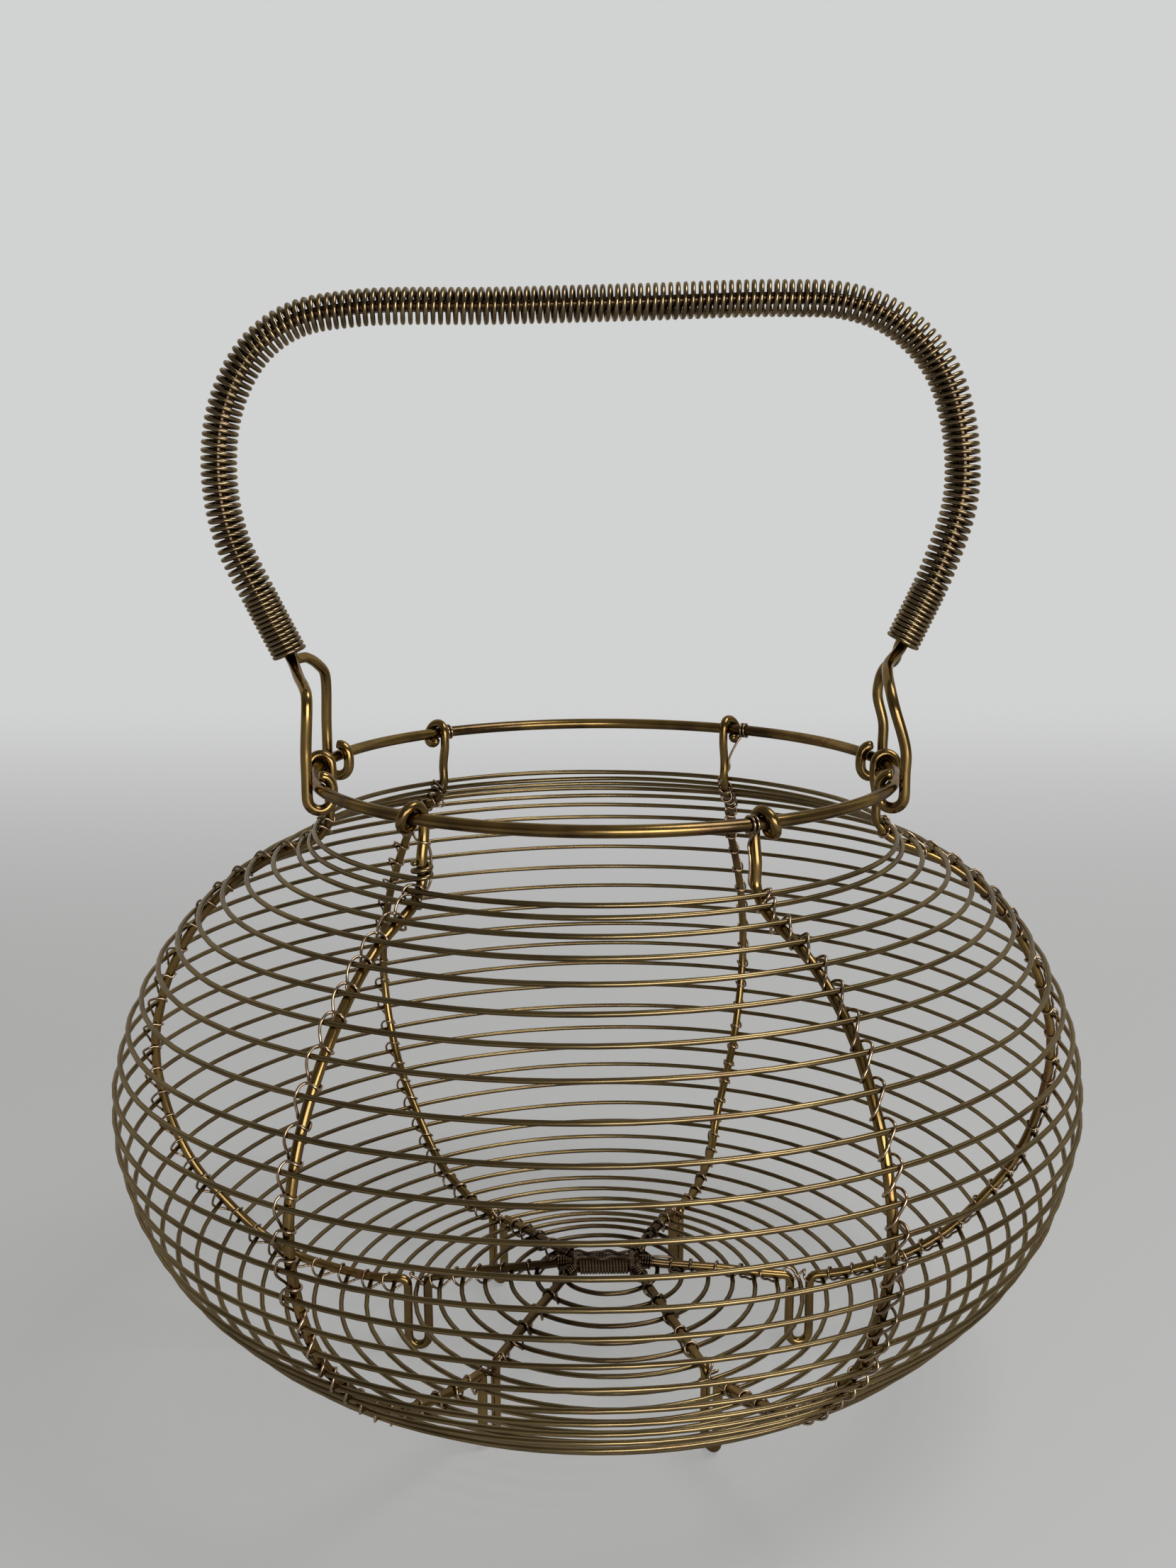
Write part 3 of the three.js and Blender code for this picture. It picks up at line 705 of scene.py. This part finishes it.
def finish(slot):
    """The aged material of a slot, made once."""
    name = f"aged_{slot}"
    if name in bpy.data.materials:
        return bpy.data.materials[name]
    colours = bpy.context.scene.basket_finish
    # clean colour, share of tarnish, share of oxide, roughness, metal
    looks = {
        "rim_wire": (colours.lacquer, 0.9, 0.5, 0.22, 1.0),
        "rib_wire": (colours.lacquer, 0.6, 0.8, 0.20, 1.0),
        "wall_wire": (colours.wall, 0.5, 0.4, 0.24, 1.0),
        "binding_wire": (colours.copper, 0.55, 0.5, 0.2, 1.0),
        "hub_wire": (colours.dark_wire, 0.5, 0.6, 0.5, 0.3),
        "bail_wire": (colours.lacquer, 0.45, 0.4, 0.18, 1.0),
        "grip_wire": (colours.grip, 0.4, 0.3, 0.18, 1.0),
    }
    clean, tarnish_and_shade, oxide, rough, metal = looks[slot]
    edge = [0.3 + c for c in clean]
    material = bpy.data.materials.new(name)
    material.use_nodes = True
    tree = material.node_tree
    shader = tree.nodes["Principled BSDF"]
    shader.inputs["Metallic"].default_value = metal
    shader.inputs["Specular Tint"].default_value = (*edge, 1)
    shader.inputs["Coat Weight"].default_value = 0.3
    shader.inputs["Coat Roughness"].default_value = 0.12
    where = tree.nodes.new("ShaderNodeTexCoord")
    aged = tree.nodes.new("ShaderNodeGroup")
    aged.node_tree = aged_wire()
    tree.links.new(where.outputs["Object"], aged.inputs["Place"])
    tree.links.new(where.outputs["Normal"], aged.inputs["Facing"])
    aged.inputs["Clean"].default_value = (*clean, 1)
    aged.inputs["Tarnish"].default_value = (*colours.tarnish_and_shade, 1)
    aged.inputs["Oxide"].default_value = (*colours.oxide, 1)
    aged.inputs["Tarnish Share"].default_value = tarnish_and_shade
    aged.inputs["Oxide Share"].default_value = oxide
    aged.inputs["Roughness"].default_value = rough
    # painted shade on the bail strands inside the grip's coil
    aged.inputs["Painted Grip Shade"].default_value = 1.0 if slot == "bail_wire" else 0.0
    tree.links.new(aged.outputs["Colour"], shader.inputs["Base Color"])
    tree.links.new(aged.outputs["Roughness"], shader.inputs["Roughness"])
    bump = tree.nodes.new("ShaderNodeBump")
    bump.inputs["Strength"].default_value = 0.04
    bump.inputs["Distance"].default_value = 0.00006
    tree.links.new(aged.outputs["Height"], bump.inputs["Height"])
    tree.links.new(bump.outputs["Normal"], shader.inputs["Normal"])
    return material


def heading(points, i):
    """Unit vector along a line at one of its points."""
    return (points[min(i + 1, len(points) - 1)] - points[max(i - 1, 0)]).normalized()


def crossings(wall, leg, line):
    """Each crossing of the wall wire and a leg: how far apart their centres are, the index on
    the leg's line, and the wall wire's centre."""
    j = LEGS.index(leg) / 6
    found = []
    for k in range(0 if j else 1, int(WALL_TURNS)):
        s0 = k + j
        if s0 > WALL_TURNS - 0.7:
            break
        best = None
        for m in range(-8, 9):
            w = wall.point(s0 + m * 0.01)
            near = min(range(len(line)), key=lambda i: (line[i] - w).length_squared)
            d = (line[near] - w).length
            if best is None or d < best[0]:
                best = (d, near, w)
        found.append(best)
    return found


def shank_tie(wall, leg, line, end):
    """Start of a binding wire, at the rim and down the leg's shank to the line's point end."""
    wires = wall.wires
    azimuth = math.radians(LEG_AZIMUTHS[leg][0])
    beside = (wires.rib + wires.binding) / 2 + TIE_SPACE
    hook = (wires.rim + wires.binding) / 2 + HOOK_SPACE
    turn = -LEG_EYE_SIDE[leg]
    turns_beside = beside
    side = left(azimuth) * turn
    drop = [i for i in range(len(line)) if line[i].z < wall.rim_height - 5 and i < end]
    if leg == "back_left":
        side = out(azimuth)
    elif leg == "back_right":
        # its rim turns lie beyond the eye, and it meets the shank low down on the same side
        turn, side, drop = -turn, -side, drop[-12:]
        turns_beside = beside + wires.rib + 0.2
    elif leg == "front_left":
        # it runs down behind the shank, and outside the wall wire's wraps
        side = -out(azimuth)
        drop = [i for i in drop if line[i].z < NECK_HEIGHT + 8]
    points = []
    if leg == "front_left":
        shaft = line[drop[0]]
        for level, key in ((wall.rim_height, "rim"), (shaft.z, "shank")):
            for h, v, z in FRONT_LEFT_START[key]:
                points.append(Vector((shaft.x, shaft.y, level + z))
                              + left(azimuth) * h + out(azimuth) * v)
    else:
        for i in range(16 * RIM_TURNS + 1):
            angle = math.radians(22.5 * i + RIM_TURN_START)
            spread = (1 - i / (16 * RIM_TURNS)) * RIM_TURNS * (wires.binding + RIM_TURN_SPACE)
            shift = (turns_beside + spread) / wall.rim_radius
            points.append(out(azimuth + shift * turn) * (wall.rim_radius - hook * math.cos(angle))
                          + up(wall.rim_height + hook * math.sin(angle)))
    for i in drop[::6]:
        reach = beside
        if leg == "front_left" and line[i].z < NECK_HEIGHT + 6:
            reach = wall.wrap_radius + (wires.wall + wires.binding) / 2 + WRAP_SPACE
        points.append(line[i] + side * reach)
    return points


def pulled_loop(rib, reach, over, pitch, below, slack):
    """One tie with its loop to the left, as on the front left leg: to the right of the leg's
    centre, out from it, and along it downwards."""
    return (
        (reach, 0, -0.26 * pitch),
        (0.75 * reach, 0.75 * reach, -0.33 * pitch),
        (0.1 * rib, reach + 0.1, -0.38 * pitch),
        (-0.7 * rib, reach + 0.25, -0.36 * pitch),
        (-rib - 0.25 * slack, over - 0.35, -0.24 * pitch),
        (-rib - 0.7 * slack, over, 0),
        (-rib - slack, over - 0.45, below),
        (-rib - 1.05 * slack, 1.5, 0.38 * pitch),
        (-rib - 0.7 * slack, 0.6, 0.55 * pitch),
        (-reach, -0.2, 0.7 * pitch),
        (-0.4 * reach, -0.92 * reach, 0.73 * pitch),
        (0.5 * reach, -0.87 * reach, 0.72 * pitch),
    )


def crossed_loop(rib, reach, over, pitch, below, slack):
    """One tie that passes over the wall wire from the right, measured as the other is."""
    return (
        (0.7 * reach, -0.75 * reach, -0.36 * pitch),
        (reach + 0.1, 0.2, -0.39 * pitch),
        (reach + 0.15 + 0.7 * slack, 1.3, -0.34 * pitch),
        (reach + 0.35 * slack, over - 0.1, -0.17 * pitch),
        (0.95 * rib, over, 0),
        (0.4 * rib, over - 0.45, below),
        (-0.05 * rib, reach + 0.12, max(0.37 * pitch, 1.3)),
        (-0.6 * rib, 0.92 * reach, 0.52 * pitch),
        (-0.9 * reach, 0.5 * reach, 0.67 * pitch),
        (-reach, -0.3, 0.78 * pitch),
        (-0.5 * reach, -0.88 * reach, 0.77 * pitch),
        (0.35 * reach, -0.95 * reach, 0.7 * pitch),
    )


def binding_line(wall, leg):
    """One binding wire, from the rim down its leg to the close turns beside the hub."""
    wires = wall.wires
    line = through(leg_line(wall, leg), 0.5)
    crossed = crossings(wall, leg, line)
    points = shank_tie(wall, leg, line, crossed[0][1] - 4)
    rib = wires.rib / 2
    reach = rib + wires.binding / 2 + TIE_SPACE
    over = wall.to_leg + wires.wall / 2 + wires.binding / 2 + TIE_SPACE
    for n, (gap, i, centre) in enumerate(crossed):
        following = crossed[n + 1][1] if n + 1 < len(crossed) else min(i + 10, len(line) - 1)
        pitch = min((line[following] - line[i]).length, 7)
        if gap > wall.to_leg + 1.2:
            continue
        down = heading(line, i)
        normal = centre - line[i]
        normal = (normal - down * normal.dot(down)).normalized()
        right = (-down).cross(normal)
        loose = 0.5 + 0.5 * noise.noise(Vector((n * 1.7, LEGS.index(leg) * 3.1, 0.5)))
        below = max(0.18 * pitch, 1.0)
        if leg == "front_left" and n < 15:
            slack = (0.95 - 0.04 * n) * (0.7 + 0.6 * loose)
            loop = pulled_loop(rib, reach, over, pitch, below, slack)
        else:
            slack = 0.1 + (0.25 if leg.startswith("back") else 0.6) * loose**1.5
            loop = crossed_loop(rib, reach, over, pitch, below, slack)
        for h, v, d in loop:
            points.append(line[i] + right * h + normal * v + down * d)
        last = (i, right, normal)
    i, right, normal = last
    inner = [p for p in line[i:] if HUB_CLEAR < p.xy.length < HUB_CLEAR + CLOSE_LENGTH]
    for k in range(16 * CLOSE_TURNS + 1):
        angle = -math.pi / 2 - 2 * math.pi * k / 16
        points.append(inner[0].lerp(inner[-1], k / (16 * CLOSE_TURNS))
                      + (right * math.cos(angle) + normal * math.sin(angle)) * reach)
    return through(points, 0.28)


def hub_ring(which, half_y, half_z, height):
    """The knot of a hub tie, a turn and three fifths round the end of the winding."""
    ring = []
    for i in range(25):
        angle = math.radians(90 + 24 * i * which)
        ring.append(Vector((
            (KNOT_PLACE + 0.035 * i) * which,
            half_y * math.cos(angle),
            height + half_z * math.sin(angle))))
    return ring


class BASKET_OT_rim(bpy.types.Operator):
    """Rim ring"""

    bl_idname = "basket.rim"
    bl_label = "Rim Ring"

    def execute(self, context):
        wall = Wall(context.scene.basket_wires)
        points = [out(2 * math.pi * i / 240) * wall.rim_radius + up(wall.rim_height) for i in range(240)]
        ring = wire("rim_ring_wire", points, wall.wires.rim, 5, "rim_wire", "basket", closed=True)
        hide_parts("rim_ring")
        return {"FINISHED"}


class BASKET_OT_wall(bpy.types.Operator):
    """Wall wire, one unbroken length from the neck to the middle of the base"""

    bl_idname = "basket.wall"
    bl_label = "Wall Wire"

    def execute(self, context):
        wall = Wall(context.scene.basket_wires)
        stray = context.scene.basket_winding.unevenness
        azimuth = wall.azimuth(0)
        centre = out(azimuth) * (wall.radius(0) - wall.wrap_radius)
        points = []
        for i in range(WRAP_TURNS * 24, 0, -1):
            t = azimuth + 2 * math.pi * i / 24
            points.append(centre + out(t) * wall.wrap_radius + up(NECK_HEIGHT + WRAP_PITCH * i / 24))
        s = 0.0
        while s < WALL_TURNS:
            points.append(wall.point(s, stray))
            s += 1 / 96 if s < 27 else 1 / 60
        spiral = wire("wall_wire_spiral", points, wall.wires.wall, 3, "wall_wire", "basket")
        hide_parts(*WALL_NODES)
        return {"FINISHED"}


class BASKET_OT_ribs(bpy.types.Operator):
    """Three rib wires, each a pair of legs with an eye on the rim and a foot"""

    bl_idname = "basket.ribs"
    bl_label = "Rib Wires"

    def execute(self, context):
        wall = Wall(context.scene.basket_wires)
        for rib, (a, b) in RIBS.items():
            rough = leg_line(wall, a) + leg_line(wall, b)[::-1]
            piece = wire(f"rib_{rib}_bent", through(rough, 0.8), wall.wires.rib, 4, "rib_wire", "basket")
            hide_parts(f"rib_wire_{rib}")
        return {"FINISHED"}


class BASKET_OT_bindings(bpy.types.Operator):
    """Six fine wires that tie every turn of the wall to the legs"""

    bl_idname = "basket.bindings"
    bl_label = "Binding Wires"

    def execute(self, context):
        wall = Wall(context.scene.basket_wires)
        for leg in LEGS:
            piece = wire(f"binding_{leg}_tie", binding_line(wall, leg), wall.wires.binding, 1,
                         "binding_wire", "basket", cut=False)
            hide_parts(f"binding_wire_{leg}")
        return {"FINISHED"}


class BASKET_OT_hub(bpy.types.Operator):
    """Dark winding that gathers the three ribs, and its tie ends"""

    bl_idname = "basket.hub"
    bl_label = "Hub Winding"

    def execute(self, context):
        wall = Wall(context.scene.basket_wires)
        wires = wall.wires
        half_y = wires.rib + RIB_SPACE + wires.rib / 2 + wires.hub / 2
        half_z = wires.rib / 2 + wires.hub / 2
        points = []
        for i in range(HUB_TURNS * 32 + 1):
            angle = 2 * math.pi * i / 32
            c, s = math.cos(angle), math.sin(angle)
            x = (i / 32 - HUB_TURNS / 2) * HUB_PITCH + 0.08 * noise.noise(Vector((i * 0.13, 2, 5)))
            y = math.copysign(abs(c) ** 0.75, c) * half_y
            z = math.copysign(abs(s) ** 0.9, s) * half_z
            points.append(Vector((x, y, wall.hub_height + z)))
        piece = wire("hub_winding_turns", points, wires.hub, 2, "hub_wire", "basket")
        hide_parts("hub_winding")
        top = wall.hub_height + half_z + wires.hub / 2
        for which, name in ((-1, "front"), (1, "back")):
            strand = []
            for i in range(25):
                t = i / 24
                strand.append(Vector((
                    (t - 0.5) * 16,
                    which * 1.7 + 0.6 * math.sin(t * 4 * math.pi + which),
                    top + 0.45 + 0.15 * math.sin(t * 23))))
            ring = hub_ring(which, half_y + KNOT_SIZE, half_z + KNOT_SIZE, wall.hub_height)
            line = strand + ring if which > 0 else ring[::-1] + strand
            tie = wire(f"hub_tie_{name}_strand", through(line, 0.3), TIE_WIRE, 2, "hub_wire", "basket")
            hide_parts(f"hub_tie_{name}")
        return {"FINISHED"}


class BASKET_OT_bail(bpy.types.Operator):
    """Two bail strands that part below the grip into four eyes on the rim"""

    bl_idname = "basket.bail"
    bl_label = "Bail Strands"

    def execute(self, context):
        wall = Wall(context.scene.basket_wires)
        grip = spaced(grip_line(), 4)
        apart = wall.wires.bail / 2 + STRAND_SPACE
        for name, y in (("front", -1), ("back", 1)):
            middle = [p + Vector((0, y * apart, 0)) for p in grip]
            ends = []
            for which, lower in ((f"{name}_left", middle[0]), (f"{name}_right", middle[-1])):
                foot = eye_line(wall, which)
                shank = foot[0]
                sign = math.copysign(1, shank.x)
                across = shank.y - lower.y
                bends = [Vector((shank.x + sign * aside, lower.y + across * share, lower.z - drop))
                         for aside, share, drop in STRAND_BENDS[which]]
                ends.append(bends + foot)
            rough = ends[0][::-1] + middle + ends[1]
            strand = wire(f"bail_{name}_strand", through(rough, 0.8), wall.wires.bail, 4,
                          "bail_wire", "bail")
            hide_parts(f"bail_strand_{name}")
        return {"FINISHED"}


class BASKET_OT_grip(bpy.types.Operator):
    """Wire wound over both strands, close at its ends and open between"""

    bl_idname = "basket.grip"
    bl_label = "Grip Coil"

    def execute(self, context):
        wires = context.scene.basket_wires
        winding = context.scene.basket_winding
        line = grip_line()
        total = lengths(line)
        close = wires.grip + CURL_SPACE
        start, end = 1.0, total[-1] - 1.0
        first, last = winding.close_left * close, end - winding.close_right * close
        radius = (winding.grip_outer - wires.grip) / 2
        sideways = Vector((0, 1, 0))
        points, steps = [], 22
        d, angle, j = start, 0.0, 0
        while d < end:
            while j < len(total) - 2 and total[j + 1] < d:
                j += 1
            centre = line[j].lerp(line[j + 1], (d - total[j]) / (total[j + 1] - total[j]))
            along = (line[min(j + 2, len(line) - 1)] - line[max(j - 1, 0)]).normalized()
            upward = sideways.cross(along).normalized()
            points.append(centre + (sideways * math.cos(angle) + upward * math.sin(angle)) * radius)
            opened = smoothstep(d, first - 1, first + 3) * (1 - smoothstep(d, last - 3, last + 1))
            uneven = 1 + 0.06 * noise.noise(Vector((d * 0.4, 1, 3)))
            d += (close + (winding.grip_pitch - close) * opened * uneven) / steps
            angle += 2 * math.pi / steps
        coil = wire("grip_coil_wire", points, wires.grip, 2, "grip_wire", "bail")
        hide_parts("grip_coil")
        return {"FINISHED"}


def floor_mesh():
    """A floor that curves up into a backdrop, 8 m wide."""
    bend = [(1.2 + 0.8 * math.sin(math.radians(a)), 0.8 - 0.8 * math.cos(math.radians(a)))
            for a in range(10, 91, 10)]
    profile = [(-3.0, 0.0), (1.2, 0.0), *bend, (2.0, 4.0)]
    bm = bmesh.new()
    verts = [bm.verts.new((-4, y, z)) for y, z in profile]
    edges = [bm.edges.new(pair) for pair in zip(verts, verts[1:])]
    swept = bmesh.ops.extrude_edge_only(bm, edges=edges)
    far = [v for v in swept["geom"] if isinstance(v, bmesh.types.BMVert)]
    bmesh.ops.translate(bm, vec=(8, 0, 0), verts=far)
    bmesh.ops.recalc_face_normals(bm, faces=bm.faces)
    for face in bm.faces:
        face.smooth = True
    mesh = bpy.data.meshes.new("floor_and_backdrop")
    bm.to_mesh(mesh)
    bm.free()
    return mesh


def pale_floor(look):
    """Matt floor that turns, towards the back, into a backdrop of an even colour of its own."""
    material = bpy.data.materials.new("pale_floor")
    material.use_nodes = True
    tree = material.node_tree
    shader = tree.nodes["Principled BSDF"]
    shader.inputs["Base Color"].default_value = (*look.floor, 1)
    shader.inputs["Roughness"].default_value = 0.75
    shader.inputs["Specular IOR Level"].default_value = 0.2
    glow = tree.nodes.new("ShaderNodeEmission")
    glow.inputs["Color"].default_value = (*look.backdrop, 1)
    path = tree.nodes.new("ShaderNodeLightPath")
    seen = math_node(tree, "MAXIMUM", path.outputs["Is Camera Ray"], path.outputs["Is Glossy Ray"])
    seen = math_node(tree, "MAXIMUM", seen, path.outputs["Is Transmission Ray"])
    where = tree.nodes.new("ShaderNodeTexCoord")
    place = tree.nodes.new("ShaderNodeSeparateXYZ")
    tree.links.new(where.outputs["Object"], place.inputs[0])
    backdrop = step_node(tree, place.outputs["Y"], 0.15, 1.3, start=0.4)
    blend = tree.nodes.new("ShaderNodeMixShader")
    tree.links.new(math_node(tree, "MULTIPLY", backdrop, seen), blend.inputs[0])
    tree.links.new(shader.outputs[0], blend.inputs[1])
    tree.links.new(glow.outputs[0], blend.inputs[2])
    tree.links.new(blend.outputs[0], tree.nodes["Material Output"].inputs["Surface"])
    return material


def area_lamp(name, power, size, place, aim):
    """A rectangular lamp at a place in metres, turned towards its aim."""
    light = bpy.data.lights.new(name, "AREA")
    light.shape = "RECTANGLE"
    light.size, light.size_y = size
    light.energy = power
    lamp = bpy.data.objects.new(name, light)
    bpy.context.scene.collection.objects.link(lamp)
    lamp.location = place
    lamp.rotation_euler = (Vector(aim) - Vector(place)).to_track_quat("-Z", "Y").to_euler()


def room_light(scene):
    """The world: darker and warmer in front, paler behind, and even overhead."""
    world = scene.world or bpy.data.worlds.new("room")
    scene.world = world
    world.use_nodes = True
    tree = world.node_tree
    toward = tree.nodes.new("ShaderNodeTexCoord")
    axes = tree.nodes.new("ShaderNodeSeparateXYZ")
    tree.links.new(toward.outputs["Generated"], axes.inputs[0])
    behind = step_node(tree, axes.outputs["Y"], -0.7, 0.6)
    room = mix_node(tree, behind, (0.11, 0.095, 0.078), (0.28, 0.275, 0.265))
    overhead = step_node(tree, axes.outputs["Z"], 0.15, 0.9)
    room = mix_node(tree, overhead, room, (0.22, 0.22, 0.218))
    tree.links.new(room, tree.nodes["Background"].inputs["Color"])
    tree.nodes["Background"].inputs["Strength"].default_value = 1.0


class BASKET_OT_stage(bpy.types.Operator):
    """Floor, backdrop, lamps and camera"""

    bl_idname = "basket.stage"
    bl_label = "Stage"

    def execute(self, context):
        scene = context.scene
        look = scene.basket_stage
        floor = bpy.data.objects.new("floor_and_backdrop", floor_mesh())
        scene.collection.objects.link(floor)
        floor.data.materials.append(pale_floor(look))
        area_lamp("soft_overhead", look.soft_light, size=(0.7, 0.6),
                  place=(0.6, -0.15, 1.3), aim=(0, 0, 0.1))
        area_lamp("window", look.window_light, size=(0.9, 0.44),
                  place=(0.38, -0.98, 0.26), aim=(0, 0, 0.12))
        room_light(scene)
        camera = bpy.data.cameras.new("camera")
        camera.sensor_fit = "VERTICAL"
        camera.sensor_height = 36
        camera.lens = look.lens
        viewer = bpy.data.objects.new("camera", camera)
        scene.collection.objects.link(viewer)
        viewer.location = (Vector(CAMERA_PLACE) + Vector((AXIS.x, AXIS.y, 0))) * MM
        viewer.rotation_euler = Euler([math.radians(a) for a in CAMERA_ANGLES])
        scene.camera = viewer
        scene.view_settings.view_transform = "Standard"
        return {"FINISHED"}


class BASKET_PT_builder(bpy.types.Panel):
    """Lists the basket's settings and pieces in the 3D view's sidebar"""

    bl_label = "Wire Basket"
    bl_space_type = "VIEW_3D"
    bl_region_type = "UI"
    bl_category = "Basket"

    def draw(self, context):
        for settings in ("basket_wires", "basket_winding", "basket_finish", "basket_stage"):
            box = self.layout.box()
            for name in getattr(context.scene, settings).__annotations__:
                box.prop(getattr(context.scene, settings), name)
        for step in PIECES:
            self.layout.operator(step.bl_idname)


SETTINGS = {
    "basket_wires": BasketWires,
    "basket_winding": BasketWinding,
    "basket_finish": BasketFinish,
    "basket_stage": BasketStage,
}
PIECES = (
    BASKET_OT_stage,
    BASKET_OT_rim,
    BASKET_OT_wall,
    BASKET_OT_ribs,
    BASKET_OT_bindings,
    BASKET_OT_hub,
    BASKET_OT_bail,
    BASKET_OT_grip,
)


def register():
    for cls in (*SETTINGS.values(), *PIECES, BASKET_PT_builder):
        bpy.utils.register_class(cls)
    for name, cls in SETTINGS.items():
        setattr(bpy.types.Scene, name, PointerProperty(type=cls))


def unregister():
    for name in SETTINGS:
        delattr(bpy.types.Scene, name)
    for cls in reversed((*SETTINGS.values(), *PIECES, BASKET_PT_builder)):
        bpy.utils.unregister_class(cls)


def main():
    """Makes every piece."""
    register()
    for step in PIECES:
        area, name = step.bl_idname.split(".")
        getattr(getattr(bpy.ops, area), name)()


if __name__ == "__main__":
    main()
